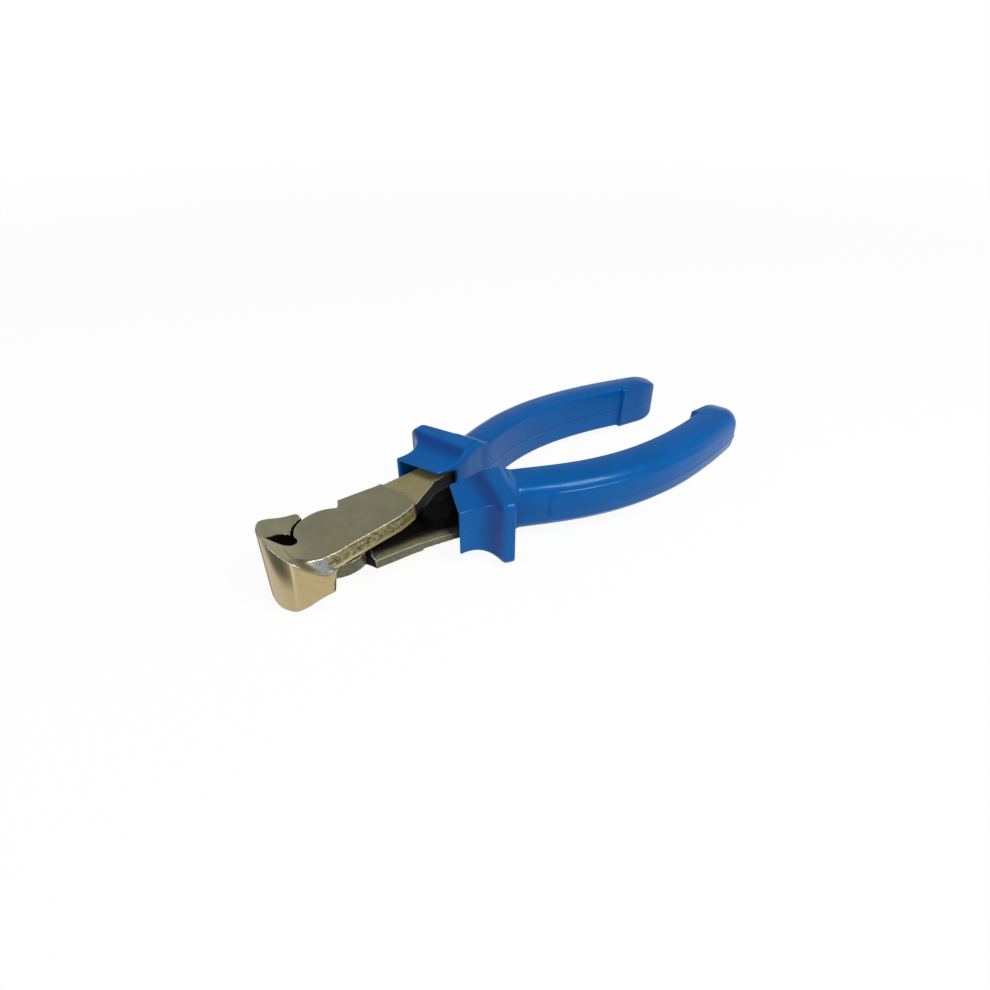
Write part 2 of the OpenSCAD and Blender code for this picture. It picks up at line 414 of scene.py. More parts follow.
# %% [markdown]
# ## The jaw
# The jaw flares up and down to a wide cutting edge. Its front is turned about the joint, its
# outer face leans in towards the base, and a hollow is ground into its top rear corner, where
# the plate's side runs on as a neck. Each of these is one short field, and the jaw is the place
# that lies inside all of them.

# %% Field of the jaw
FRONT_X = 1.45
JAW_FACE, JAW_LEAN = JAW_OUT + 0.9, 0.0085
ROUND_TOP, ROUND_BASE = 1.35, 2.3
REAR_ROUND, BASE_ROUND, NECK_ROUND, CRISP_ROUND = 1.2, 0.5, 1.0, 0.2
EDGE_GAP, EDGE_FLAT = 0.05, 0.3
FLARE_R, BASE_R, FLARE_X = 18.5, 21.0, -5.2
SCOOP_X, SCOOP_Z, SCOOP_BEND = -7.6, 0.4, 1.5
SCOOP_IN, SCOOP_WIDEN, SCOOP_SLOPE = 1.75, 0.2, 0.45
PARTING_Z, DRAFT_HIGH, REAR_DRAFT = 1.3, 0.16, 0.15
NECK_LINE = np.array([[-10.0, -8.2], [-6.2, -11.4]])
REAR_LINE = np.array([[JAW_REAR, -JAW_FACE], [-2.2, -11.2]])


def jaw_outline(x, y, z):
    """Plan of the jaw: a front turned about the joint, an outer face that leans in towards the
    base, a corner between them that grows rounder downwards, and the line where the jaws meet."""
    front = np.hypot(x - FRONT_X, y) - JAW_REACH - FRONT_X
    face = -y - JAW_FACE + JAW_LEAN * np.maximum(-z - 1.0, 0.0) ** 2
    corner = ROUND_TOP + (ROUND_BASE - ROUND_TOP) * smooth_step(7.0, -9.0, z)
    return np.maximum(trim(front, face, corner), y + EDGE_GAP)


def flare(x, z, level, radius):
    """Height above a face that is flat behind the flare and curls up to the cutting edge."""
    curled = radius - np.hypot(x - FLARE_X, z - level - radius)
    return np.where(x < FLARE_X, curled, z - level)


def scoop_field(x, y, z):
    """Height above a hollow ground into the jaw's top rear corner. Its rim runs down the outer
    face at 45 degrees and levels out, and its floor climbs from the rim to the top of the plate."""
    reach = x - SCOOP_X
    rim = SCOOP_Z + (np.hypot(reach, SCOOP_BEND) - reach) / 2
    along = np.minimum(x - FLARE_X, 0.0)
    top = HALF_T + FLARE_R - np.sqrt(np.maximum(FLARE_R ** 2 - along ** 2, 1.0))
    inward = (y + JAW_FACE) / (SCOOP_IN + SCOOP_WIDEN * np.maximum(-reach, 0.0))
    climb = np.maximum(top - rim, 0.0) * smooth_step(-3.4, -7.6, x)
    return SCOOP_SLOPE * (z - rim - climb * inward * (0.6 + 0.4 * np.abs(inward)))


def neck_field(x, y, z):
    """Distance past the plate's side, which is carried on into the jaw and then turns in."""
    plan = trim(beyond(x, y, SIDE_LINE), beyond(x, y, NECK_LINE), NECK_ROUND)
    return plan + DRAFT_HIGH * np.maximum(z - PARTING_Z, 0.0)


def jaw_field(x, y, z, drop):
    """Signed distance to the jaw block, with its rear corner rounded and a hollow at the top."""
    above = smooth_step(-0.4, 0.8, z)
    leaning = x - JAW_REAR + REAR_DRAFT * np.maximum(-z, 0.0)
    rear = (1.0 - above) * leaning + above * beyond(x, y, REAR_LINE)
    base = flare(x, -z, HALF_T + drop, BASE_R)
    block = trim(jaw_outline(x, y, z), rear, REAR_ROUND)
    block = trim(block, np.abs(z) - JAW_HALF_H - EDGE_FLAT, CRISP_ROUND)
    block = np.maximum(trim(block, base, CRISP_ROUND), trim(rear, base, BASE_ROUND))
    return trim(block, np.minimum(scoop_field(x, y, z), neck_field(x, y, z)), CRISP_ROUND)


print("jaw %.1f mm deep, with a flare of %.1f mm in radius" % (JAW_FACE, FLARE_R))

# %% [markdown]
# ## The whole lever
# The field follows the order of the work: forge the plate with its leaning sides and blend it
# into the jaw, grind the top flat, add the bar, then cut the recess for the other cheek, the
# relief hole behind the edge, and the rivet's hole.

# %% Field of a lever
RECESS_R = CHEEK_R + 0.11
FACE_R = 25.4
RELIEF_R, RELIEF_X, RELIEF_Y = 3.1, -12.8, 0.5
RELIEF_TIP = 1.3 - JAW_REACH
OUTER_PARTING_Z, DRAFT_LOW = 1.9, 0.05
OUTER_MORE_HIGH, OUTER_MORE_LOW = -0.09, 1.6
PLATE_ROUND, STEP_ROUND, BAR_ROUND, JAW_BLEND = 0.15, 0.12, 0.8, 0.6
BAR_ROOT, TOP_ROUND, JAW_TOP_MORE = 0.6, 0.14, 0.18
RIVET_HOLE_R, SINK_R, SINK_SLOPE = 3.6, HEAD_R - 0.2, 0.9


def relief_outline(x, y):
    """Plan of the teardrop hole: a circle joined to the tip of a wedge."""
    lean = math.acos(RELIEF_R / (RELIEF_X - RELIEF_TIP))
    touch = RELIEF_R * np.array([-math.cos(lean), math.sin(lean)])
    wedge = [(RELIEF_TIP, 0.0), (RELIEF_X + touch[0], -touch[1]), (RELIEF_X + touch[0], touch[1])]
    return np.minimum(np.hypot(x - RELIEF_X, y) - RELIEF_R, polygon_field(x, y, wedge))


def parting_height(outer):
    """Height of the die's parting line, which is higher on the outer half of the tang."""
    return PARTING_Z + (OUTER_PARTING_Z - PARTING_Z) * outer


def plate_field(x, y, z):
    """Signed distance to cheek and tang: the plan with sides that lean in above and below the
    parting line, cut flat where the levers lap, and stepped down along an arc at the tang."""
    outer = outer_half(x, y)
    parting = parting_height(outer)
    lean_high, lean_low = DRAFT_HIGH + OUTER_MORE_HIGH * outer, DRAFT_LOW + OUTER_MORE_LOW * outer
    draft = lean_high * np.maximum(z - parting, 0.0) + lean_low * np.maximum(parting - z, 0.0)
    layer = np.maximum(z - HALF_T - 1.0, LAP - z)
    plate = trim(plate_outline(x, y) + draft, layer, PLATE_ROUND)
    tang_cut = np.maximum(FACE_R - np.hypot(x, y), TANG_T - z)
    return trim(plate, -tang_cut, STEP_ROUND)


def lever_field(x, y, z, drop, hole_y, bar_points):
    """Signed distance to a lever, in mm about the pivot: forged, ground, then cut."""
    forging = merge(plate_field(x, y, z), jaw_field(x, y, z, drop), JAW_BLEND)
    edge = TOP_ROUND + JAW_TOP_MORE * smooth_step(-5.0, -8.0, y)
    ground = trim(forging, flare(x, z, HALF_T, FLARE_R), edge)
    half_width = BAR_HALF_W + BAR_ROOT * smooth_step(42.0, 33.0, x)
    bar = trim(path_field(x, y, bar_points, half_width), np.abs(z) - TANG_T, BAR_ROUND)
    radius = np.hypot(x, y)
    recess = np.maximum(radius - RECESS_R, z - LAP)
    lever = np.maximum(np.minimum(ground, bar), -recess)
    lever = trim(lever, -relief_outline(x, y - hole_y), CRISP_ROUND)
    sink = radius - SINK_R - SINK_SLOPE * (z - HALF_T)
    return np.maximum(lever, -np.minimum(radius - RIVET_HOLE_R, sink))


print("recess %.2f mm in radius, relief hole %.1f mm" % (RECESS_R, RELIEF_R))

# %% [markdown]
# ## From a field to a skin
# The field is sampled on a box of grid points, fine over the head and coarse along the hidden
# bar. Every grid cell that the surface crosses gets one point, at the mean of the crossings on
# its edges, and every grid edge that changes sign gets one quad around it. That is the surface
# net. Each point is then slid along the field's slope onto the exact surface.

# %% Surface net
def surface_net(values, axes):
    """Points and quads of the zero surface of values sampled on three axes."""
    cells = tuple(len(axis) - 1 for axis in axes)
    sums = np.zeros((4, np.prod(cells)))
    quads = []
    for axis in range(3):
        near = np.moveaxis(values, axis, 0)[:-1]
        away = np.moveaxis(values, axis, 0)[1:]
        i, j, k = np.nonzero((near < 0.0) != (away < 0.0))
        share = near[i, j, k] / (near[i, j, k] - away[i, j, k])
        others = [a for a in range(3) if a != axis]
        index = np.empty((len(i), 3), int)
        index[:, axis], index[:, others[0]], index[:, others[1]] = i, j, k
        crossing = np.stack([axes[a][index[:, a]] for a in range(3)])
        crossing[axis] += share * (axes[axis][index[:, axis] + 1] - axes[axis][index[:, axis]])
        second, third = (axis + 1) % 3, (axis + 2) % 3
        around = []
        for step_second, step_third in ((1, 1), (0, 1), (0, 0), (1, 0)):
            cell = index.copy()
            cell[:, second] -= step_second
            cell[:, third] -= step_third
            flat = np.ravel_multi_index(cell.T, cells)
            around.append(flat)
            sums[3] += np.bincount(flat, minlength=sums.shape[1])
            for a in range(3):
                sums[a] += np.bincount(flat, weights=crossing[a], minlength=sums.shape[1])
        quad = np.stack(around, axis=1)
        outward = near[i, j, k] < 0.0
        quads.append(np.where(outward[:, None], quad, quad[:, ::-1]))
    used = sums[3] > 0
    number = np.cumsum(used) - 1
    points = (sums[:3, used] / sums[3, used]).T
    return points, number[np.concatenate(quads)]


BALL_R = 2.0
ball_axes = (np.linspace(-1.2 * BALL_R, 1.2 * BALL_R, 20),) * 3
ball_field = np.linalg.norm(np.meshgrid(*ball_axes, indexing="ij"), axis=0) - BALL_R
ball_points, ball_quads = surface_net(ball_field, ball_axes)
print("a test ball has", len(ball_points), "points and", len(ball_quads), "quads")

# %% Skin of a lever
BAR_GRID, HEAD_TO = 1.2, 47.0
SLIDE_MOST, NORMAL_STEP, BEND_STEP = 0.12, 0.06, 0.3


def slope(field, points, step=0.02):
    """Gradient of a field at points, by central differences."""
    shifts = step * np.eye(3)
    rises = [field(*(points + s).T) - field(*(points - s).T) for s in shifts]
    return np.stack(rises, 1) / (2 * step)


def slope_change(field, points, step):
    """How convex the surface is: the mean of the field around a point, less the field there."""
    shifts = step * np.concatenate([np.eye(3), -np.eye(3)])
    return sum(field(*(points + s).T) for s in shifts) / len(shifts) - field(*points.T)


def skin_lever(drop, hole_y, handle, fine):
    """Points, quads, normals and bend of a lever's surface, on a grid of this fineness in mm."""
    bar_points = bar_line(handle)

    def field(x, y, z):
        return lever_field(x, y, z, drop, hole_y, bar_points)

    head = np.arange(-JAW_REACH - 1.0, HEAD_TO, fine)
    bar = np.arange(head[-1] + BAR_GRID, bar_points[-1, 0] + 6.0, BAR_GRID)
    axes = (
        np.concatenate([head, bar]),
        np.arange(-JAW_FACE - 1.0, bar_points[:, 1].max() + 6.0, fine),
        np.arange(-JAW_HALF_H - 1.0, JAW_HALF_H + 1.0, fine),
    )
    values = field(axes[0][:, None, None], axes[1][None, :, None], axes[2][None, None, :])
    points, quads = surface_net(values, axes)
    for _ in range(2):
        gradient = slope(field, points)
        length = np.maximum(np.sum(gradient ** 2, axis=1), 0.2)
        move = np.clip(field(*points.T) / length, -SLIDE_MOST, SLIDE_MOST)
        points = points - move[:, None] * gradient
    gradient = slope(field, points, NORMAL_STEP)
    normals = gradient / np.maximum(np.linalg.norm(gradient, axis=1), 1e-6)[:, None]
    bend = slope_change(field, points, BEND_STEP)
    return points, quads, normals, bend


print("the grid is", BAR_GRID, "mm along the bar and finer up to", HEAD_TO, "mm behind the pivot")

# %% [markdown]
# ## How a lever was finished, and where light and shade are painted
# Where a point lies and which way it faces tells how it was finished. Sides that a grinder never
# touched are forged, faces inside the joint are blackened, and edges are worn bright. Painted
# shade darkens the joint, the hole, the step and the bar. The jaw is brushed, with painted shade
# in the hollow beside its front ridge and a painted highlight on the ridge, and the scoop behind it
# is silvery ground steel with a painted reflection. All this could be painted on a texture, but
# formulas on the points stay sharp and need no picture.

# %% Finish of the jaw
def lever_regions(points, normals):
    """Which part of a lever each point is on, as numbers from 0 to 1 under their names. The two
    numbers of a smooth step are where the part starts and where it is full, in mm or as a share
    of the normal."""
    x, y, z = points.T
    flat = np.abs(normals[:, 2])
    upright = smooth_step(0.85, 0.55, flat)
    neck = smooth_step(0.5, 0.2, np.abs(neck_field(x, y, z))) * (normals[:, 1] < -0.5)
    neck = neck * (z > 0.0) * (x > -8.5)
    jaw = smooth_step(-2.2, -3.0, x) * (1.0 - neck) * (y < 1.0)
    outer = outer_half(x, y)
    parting = parting_height(outer)
    above = smooth_step(parting - 0.15, parting + 0.15, z)
    return {
        "upright": upright,
        "neck": neck,
        "jaw_wall": jaw * upright,
        "side": upright * (1.0 - jaw) * smooth_step(0.0, 0.15, z),
        "near": smooth_step(-0.15, -0.5, normals[:, 1]),
        "outer": outer,
        "above": above,
        "chamfer": outer * (1.0 - above) * smooth_step(0.95, 0.85, flat),
        "bar": smooth_step(FACE_R - 0.6, FACE_R + 0.2, np.hypot(x, y)),
    }


def jaw_finish(points, normals, on, front_shade):
    """The scoop with its painted reflection, and the painted shade and the ridge's painted highlight
    of a jaw. Its wall is told by the angle that it turns to, from 0 at the front to 90 on the
    outer face."""
    x, y, z = points.T
    up = normals[:, 2]
    wall = on["jaw_wall"]
    # The scoop faces up and gets a painted reflection; its rim and its front get painted shade
    above_scoop = scoop_field(x, y, z)
    hollow = smooth_step(0.3, 0.1, np.abs(above_scoop))
    scoop = hollow * smooth_step(0.12, 0.3, up) * (y < -9.5)
    scoop = scoop * (1.0 - on["neck"]) * (x < -2.0) * smooth_step(-11.5, -8.0, x)
    scoop_front = 0.5 * hollow * smooth_step(-8.0, -11.5, x) * (y < -9.5)
    scoop_rim = smooth_step(-0.6, -0.05, above_scoop) * (1.0 - scoop) * (y < -12.0)
    scoop_rim = scoop_rim * on["upright"] * smooth_step(-5.0, -8.0, x)

    # A painted highlight on the ridge; painted shade beside it, on the flare, along the front where the
    # jaws meet and at the rear corner
    below_top = np.maximum(-flare(x, z, HALF_T, FLARE_R), 0.0)
    turn = np.degrees(np.arctan2(-normals[:, 1], -normals[:, 0]))
    ridge = wall * np.exp(-((turn - 47.0) / 8.0) ** 2) * np.exp(-below_top / 8.0)
    by_ridge = smooth_step(3.0, 14.0, turn - 1.1 * below_top) * smooth_step(46.0, 24.0, turn)
    by_ridge = wall * by_ridge * (0.06 + 0.94 * smooth_step(11.0, 3.5, below_top))
    on_flare = (0.3 + 0.25 * (front_shade > 0.0)) * smooth_step(5.2, 8.5, np.abs(z)) * (np.abs(up) > 0.4)
    front = wall * smooth_step(60.0, 40.0, turn) * np.maximum(front_shade, smooth_step(-0.55, -0.2, y))
    rear = wall * smooth_step(96.0, 112.0, turn) * smooth_step(-1.0, -3.0, z)
    shade = np.maximum.reduce([by_ridge, 0.7 * scoop_rim, on_flare, front, rear, scoop_front])
    return scoop, shade, ridge


# %% Finish of a lever
def blackened_and_shaded(points, normals, on, hole_y):
    """Blackened places with painted shade: inside the joint and the hole, below the tang's chamfer and
    on the bar.
    """
    x, y, z = points.T
    up = normals[:, 2]
    radius = np.hypot(x, y)
    # Painted shade: a dark line along the step's arc, the hole, the step's face, the chamfer darker
    # towards the lap, and the bar below and on its inner side. The lapped faces and the recess are
    # blackened and also shaded.
    arc_line = smooth_step(0.45, 0.1, np.abs(radius - FACE_R - 0.2))
    arc_line = arc_line * smooth_step(4.9, 4.7, z) * (z > 4.0)
    in_hole = smooth_step(0.3, 0.05, relief_outline(x, y - hole_y))
    in_hole = in_hole * smooth_step(0.9, 0.6, np.abs(up))
    lapped = smooth_step(0.5, 0.8, -up) * smooth_step(0.5, 0.2, np.abs(z))
    facing_in = -(x * normals[:, 0] + y * normals[:, 1]) / np.maximum(radius, 1e-6)
    recess = (np.abs(radius - RECESS_R) < 0.1) * smooth_step(0.75, 0.95, facing_in) * (z < 0.1)
    step = smooth_step(-0.5, -0.8, normals[:, 0]) * (x > 4.0) * on["upright"]
    chamfer_shade = on["chamfer"] * (0.45 + 0.55 * smooth_step(1.5, 0.4, z))
    low_bar = on["bar"] * smooth_step(0.3, -0.3, z)
    inner_bar = on["bar"] * on["side"] * (1.0 - on["outer"] * on["above"])
    return np.maximum.reduce([
        in_hole, lapped, recess, step, chamfer_shade, low_bar, inner_bar, 0.8 * arc_line,
    ])


def lever_finish(points, normals, bend, hole_y, front_shade):
    """Finish, painted shade and painted highlights of each point of a lever, as numbers from 0 to 1
    under their names.
    """
    on = lever_regions(points, normals)
    side, near, outer, above = on["side"], on["near"], on["outer"], on["above"]
    scoop, shade, ridge = jaw_finish(points, normals, on, front_shade)
    black = blackened_and_shaded(points, normals, on, hole_y)
    cheek = side * (1.0 - near) * (1.0 - outer) * smooth_step(16.0, 13.0, points[:, 0])
    # Worn bright edges, plus a painted highlight along the jaw's ridge
    worn_and_highlight = np.maximum(smooth_step(0.03, 0.10, bend), 0.5 * ridge)
    return {
        "jaw": on["jaw_wall"] * (1.0 - scoop),
        "shade": shade,
        "scoop": scoop,
        "cheek": np.maximum.reduce([cheek, 0.85 * on["chamfer"], 0.95 * side * outer * above]),
        "tang": on["bar"] * smooth_step(0.5, 0.8, normals[:, 2]),
        "forged": side * above * near,
        "band": side * (1.0 - above) * near,
        "coated": side * near,
        "edge": worn_and_highlight * (1.0 - black) * (1.0 - 0.5 * outer),
        "black": black,
    }


# %% [markdown]
# ## Two levers from one forging
# Every new piece ends the same way: its points are moved from millimetres about the pivot into
# the frame, its faces are handed over, and it rides on a body and stands for a node. Forged
# sides get real pits first, moved along the normal by a fine noise. The lower lever is the same
# forging turned over, with a shallower jaw that gets more painted shade in front.

# %% Levers
LEVER_GRID = 0.3
UPPER_DROP, LOWER_DROP = 1.5, 0.1
# Extra painted shade on the lower jaw's front and flare
LOWER_FRONT_SHADE = 0.45
PIT_DEPTH, PIT_SIZE, SMALL_PIT_SIZE = 0.10, 0.9, 0.45


def add_piece(name, points, faces, body, node, material):
    """A smooth mesh of these points (mm about the pivot), riding on a body in place of a node."""
    mesh = bpy.data.meshes.new(name)
    mesh.from_pydata(PIVOT + MM * points, [], faces)
    mesh.shade_smooth()
    mesh.materials.append(material)
    piece = bpy.data.objects.new(name, mesh)
    bpy.context.scene.collection.objects.link(piece)
    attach(piece, body)
    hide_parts(node)
    print(name, len(mesh.vertices), "points", len(mesh.polygons), "faces")
    return piece


def add_attribute(piece, name, values):
    """One number at every point of the piece, for its material to read."""
    attribute = piece.data.attributes.new(name, "FLOAT", "POINT")
    attribute.data.foreach_set("value", values.astype(np.float32))


def grain(points, size, seed):
    """Smooth noise from -1 to 1: random values on a lattice, blended between its corners."""
    lattice = np.random.default_rng(seed).uniform(-1.0, 1.0, (32, 32, 32))
    place = points / size
    cell = np.floor(place).astype(int)
    share = smooth_step(0.0, 1.0, place - cell)
    total = np.zeros(points.shape[:-1])
    for corner in np.ndindex(2, 2, 2):
        weight = np.prod(np.where(corner, share, 1.0 - share), axis=-1)
        index = (cell + corner) % len(lattice)
        total += weight * lattice[index[..., 0], index[..., 1], index[..., 2]]
    return total


def add_lever(name, node, drop, handle, turned_over, body, seed):
    """A lever with its finish stored at every point; turned over about X for the lower one."""
    hole_y = -RELIEF_Y if turned_over else RELIEF_Y
    # Only the lower jaw gets the extra painted shade in front
    front_shade = LOWER_FRONT_SHADE if turned_over else 0.0
    points, quads, normals, bend = skin_lever(drop, hole_y, handle, LEVER_GRID)
    finish = lever_finish(points, normals, bend, hole_y, front_shade)
    pits = 0.6 * grain(points, PIT_SIZE, seed) + 0.4 * grain(points, SMALL_PIT_SIZE, seed + 1)
    points = points + (PIT_DEPTH * finish["forged"] * pits)[:, None] * normals
    if turned_over:
        points = points * (1.0, -1.0, -1.0)
    piece = add_piece(name, points, quads, body, node, steel)
    for label, values in finish.items():
        add_attribute(piece, label, values)
    print(name, "is finished by", ", ".join(finish))


add_lever("upper_forging", "upper_lever", UPPER_DROP, FAR_HANDLE, False, "upper", seed=11)
add_lever("lower_forging", "lower_lever", LOWER_DROP, NEAR_HANDLE, True, "lower", seed=23)

# %% [markdown]
# ## The rivet
# The rivet is hammered into countersunk holes and ground level with both faces, so on the real
# tool it can hardly be told from them. A turned piece is a profile carried around a circle. Its
# heads stand a hair proud and cover the edge of their holes.

# %% Rivet
RIVET_PROUD, RIVET_SIDES = 0.006, 96
SHANK_R, HEAD_T = 3.5, 1.5


def turned(profile, sides):
    """A closed profile of radius and height carried around Z: radius times cosine and sine."""
    angle = np.linspace(0.0, 2.0 * np.pi, sides, endpoint=False)
    r, z = np.array(profile, float).T[..., None]
    x, y = r * np.cos(angle), r * np.sin(angle)
    return np.stack([x, y, np.broadcast_to(z, x.shape)], -1)


def tube_faces(rings, sides):
    """Quads between neighbouring rings, and a fan of triangles to a pole at each end."""
    ring = np.arange(rings - 1)[:, None] * sides
    here = np.arange(sides)
    after = (here + 1) % sides
    quads = np.stack([ring + here, ring + after, ring + sides + after, ring + sides + here], -1)
    first, last = rings * sides, rings * sides + 1
    tail = (rings - 1) * sides
    start = np.stack([after, here, np.full(sides, first)], -1)
    end = np.stack([tail + here, tail + after, np.full(sides, last)], -1)
    return quads.reshape(-1, 4).tolist() + start.tolist() + end.tolist()


def close_tube(points):
    """The points of a tube of rings as one list, with the mean of each end ring as its pole."""
    return np.concatenate([points.reshape(-1, 3), points[:1].mean(1), points[-1:].mean(1)])


half_profile = [
    (HEAD_R - 0.6, HALF_T + RIVET_PROUD), (HEAD_R - 0.02, HALF_T + RIVET_PROUD),
    (HEAD_R, HALF_T + RIVET_PROUD - 0.002), (HEAD_R - 0.01, HALF_T + 0.001),
    (HEAD_R - 0.4, HALF_T + 0.001), (SHANK_R, HALF_T - HEAD_T), (SHANK_R, 0.5),
]
rivet_profile = [(r, -z) for r, z in half_profile] + half_profile[::-1]
rivet_points = close_tube(turned(rivet_profile, RIVET_SIDES))
rivet_faces = tube_faces(len(rivet_profile), RIVET_SIDES)
add_piece("flush_rivet", rivet_points, rivet_faces, "lower", "pivot_rivet", steel)

# %% [markdown]
# ## Moulded vinyl
# The grips are moulded in a glossy blue vinyl. It is one even, deep colour, with slow waves in
# the surface, as moulded plastic has, and a little haze from handling. The gloss
# comes from the shader, tinted towards blue, with a thin clear coat for the small sharp lights
# on the edges. The cove before the guard gets painted shade, stored on the mesh.

# %% Vinyl material
VINYL_BLUE = (0.0004, 0.096, 0.350)
VINYL_DEEP = (0.0006, 0.082, 0.300)
VINYL_SHADE = (0.006, 0.045, 0.220)
VINYL_SHINE = (0.30, 0.80, 1.0, 1.0)


def make_vinyl():
    """Glossy plastic with a slow change of depth, painted shade in the cove, patches of haze and
    long shallow waves.
    """
    material, shader = new_material("blue_vinyl")
    cloud = add_noise(material, 45.0, 2.0)
    colour = mottle(material, cloud, ((0.35, 0.0), (0.7, 1.0)), VINYL_BLUE, VINYL_DEEP)
    # Painted shade in the cove before the guard
    colour = mix_colour(material, read_attribute(material, "cove"), colour, VINYL_SHADE)
    join(material, colour, shader.inputs["Base Color"])
    haze = add_noise(material, 120.0, 4.0, 0.55)
    join(material, add_ramp(material, haze, ((0.35, 0.30), (0.7, 0.40))), shader.inputs["Roughness"])
    waves = add_noise(material, 150.0, 1.0)
    join(material, add_bump(material, waves, 0.12 * MM, 0.25), shader.inputs["Normal"])
    shader.inputs["Specular IOR Level"].default_value = 0.18
    shader.inputs["Specular Tint"].default_value = VINYL_SHINE
    shader.inputs["Coat Weight"].default_value = 0.13
    shader.inputs["Coat Roughness"].default_value = 0.09
    return material


vinyl = make_vinyl()
print("material", vinyl.name, len(vinyl.node_tree.nodes), "nodes")

# %% [markdown]
# ## The grips
# A grip is a thick sleeve: a hollow collar around the tang, a cove that sweeps up to a finger
# guard, a long body that fills the palm, and a lip that stops the thumb. It could be sculpted,
# but it is really one rounded rectangle that changes size along the handle's line. So it is
# lofted: a list of stations gives the reaches of the rectangle, one formula turns each station
# into a ring, and the skin runs from deep inside the bar's socket, out over the mouth's rim and
# on to the rounded end as one closed surface.

# %% Sizes of a grip
FAR_GRIP = {"handle": FAR_HANDLE, "side": 1.0, "collar_out": 10.9, "collar_h": 8.2,
            "guard_out": 19.4, "guard_h": 11.0, "at_guard": 14.3, "at_heel": 19.5,
            "lip": 17.5, "rise": 1.6}
NEAR_GRIP = {"handle": NEAR_HANDLE, "side": -1.0, "collar_out": 9.9, "collar_h": 7.6,
             "guard_out": 17.2, "guard_h": 11.1, "at_guard": 11.7, "at_heel": 15.7,
             "lip": 14.2, "rise": 2.2}
COLLAR_IN, GUARD_IN = 6.0, 5.8
COLLAR_ROUND, GUARD_ROUND = 0.7, 2.6
BODY_W, BODY_H = 6.3, 8.2
BODY_R_IN, BODY_R_OUT, REAR_R_OUT = 1.0, 4.6, 5.4


def measure(handle):
    """Shares of a handle's curve, and the length of the line up to each of them."""
    shares = np.linspace(0.0, 1.0, 2001)
    steps = np.linalg.norm(np.diff(handle_point(handle, shares), axis=0), axis=1)
    return shares, np.concatenate([[0.0], np.cumsum(steps)])


grip_lengths = [float(measure(grip["handle"])[1][-1]) for grip in (FAR_GRIP, NEAR_GRIP)]
print("sleeves", [round(length, 1) for length in grip_lengths], "mm along their line")

# %% [markdown]
# ## Stations along a grip
# A row of six numbers describes the section at a station: how far along, the reaches to the
# inner and outer side, the half height, and the two corner radii. Only the turning points are
# written down. The rows between them are filled in evenly and averaged with their neighbours, a
# little at the lip and more around the guard, as if the mould's edges had been sanded round.

# %% Stations of a grip
SIDE_WALL, TOP_WALL, MOUTH_DEPTH = 1.2, 1.0, 9.0
MOUTH_ROUND = 0.4
HEEL_DROP, HEEL_FADE, LIP_RAMP, LIP_TAPER = 0.5, 4.5, 0.4, 2.5
END_LENGTH, END_SINK_OUT, END_SINK_IN, END_SINK_H = 7.6, 7.5, 2.4, 2.6
END_R_MORE, END_R_OUT = 0.2, 1.2
CAP_RUN, CAP_DROP, CAP_R = 0.25, 0.7, 0.6
STATION_STEP, CRISP_WIDTH, SOFT_WIDTH = 0.35, 0.35, 1.3


def soften(rows, width):
    """Each column averaged over this width with a bell of weights, so that corners turn round."""
    reach = max(1, round(width / STATION_STEP))
    bell = np.hanning(2 * reach + 3)[1:-1]
    padded = np.pad(rows, ((reach, reach), (0, 0)), mode="edge")
    return np.stack([np.convolve(column, bell / bell.sum(), "valid") for column in padded.T], 1)


def end_stations(grip, length):
    """The lip and the rounded end: each reach sinks along a quarter circle."""
    turn = np.linspace(0.0, np.pi / 2, 18)[:, None]
    run = length - END_LENGTH + END_LENGTH * np.sin(turn)
    sink = 1.0 - np.cos(turn)
    past = (run - length + grip["lip"]) / grip["lip"]
    inner = BODY_W + grip["rise"] - LIP_TAPER * past - END_SINK_IN * sink
    outer = BODY_W - END_SINK_OUT * sink
    rounding = [BODY_R_IN + END_R_MORE * sink, REAR_R_OUT + (END_R_OUT - REAR_R_OUT) * sink]
    end = np.concatenate([run, inner, outer, BODY_H - END_SINK_H * sink, *rounding], 1)
    middle, half_w = (end[-1, 2] - end[-1, 1]) / 2, (end[-1, 2] + end[-1, 1]) / 2
    cap_in, cap_out = half_w / 2 - middle, half_w / 2 + middle
    cap = [length + CAP_RUN, cap_in, cap_out, end[-1, 3] - CAP_DROP, CAP_R, CAP_R]
    return np.vstack([end, cap])


